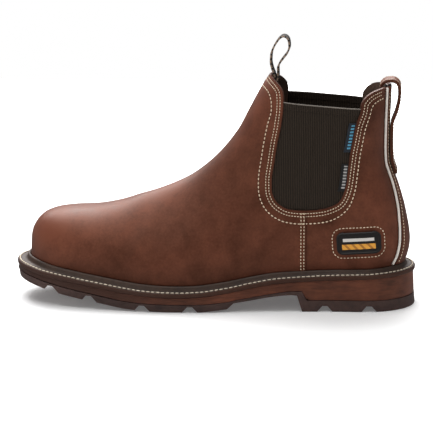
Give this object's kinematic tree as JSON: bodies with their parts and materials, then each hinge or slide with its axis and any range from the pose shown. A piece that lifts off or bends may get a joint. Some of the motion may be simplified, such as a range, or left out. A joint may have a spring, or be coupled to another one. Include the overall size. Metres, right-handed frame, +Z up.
{
  "type": "side gore work boot",
  "caption": "Pull-on leather ankle work boot with elastic side panels, heel and front pull loops, storm welt and lugged sole, left foot.",
  "frame": {"origin": "on the ground, below the middle of the sole's length and width", "axes": "+X towards the heel, the toe points to -X; +Y towards the medial side; +Z up"},
  "size_m": [0.3098, 0.1119, 0.2056],
  "materials": {
    "upper_leather": "oiled smooth reddish-brown leather",
    "tread_rubber": "matte dark brown rubber",
    "midsole_leather": "burnished edge",
    "welt_leather": "waxed dark brown",
    "insole_board": "matte",
    "gore_elastic": "ribbed elastic webbing",
    "piping_bead": "satin",
    "loop_webbing": "woven webbing",
    "badge_rubber": "satin moulded rubber",
    "tab_weave": "woven label tape"
  },
  "bodies": {
    "root": {"upper": "upper_leather", "outsole": "tread_rubber", "midsole": "midsole_leather", "welt": "welt_leather", "insole": "insole_board", "gore_lateral": "gore_elastic", "gore_medial": "gore_elastic", "backstay": "upper_leather", "piping_lateral": "piping_bead", "piping_medial": "piping_bead", "heel_pull_strap": "upper_leather", "front_pull_loop": "loop_webbing", "badge": "badge_rubber", "gore_tab_upper": "tab_weave", "gore_tab_lower": "tab_weave"}
  },
  "joints": []
}
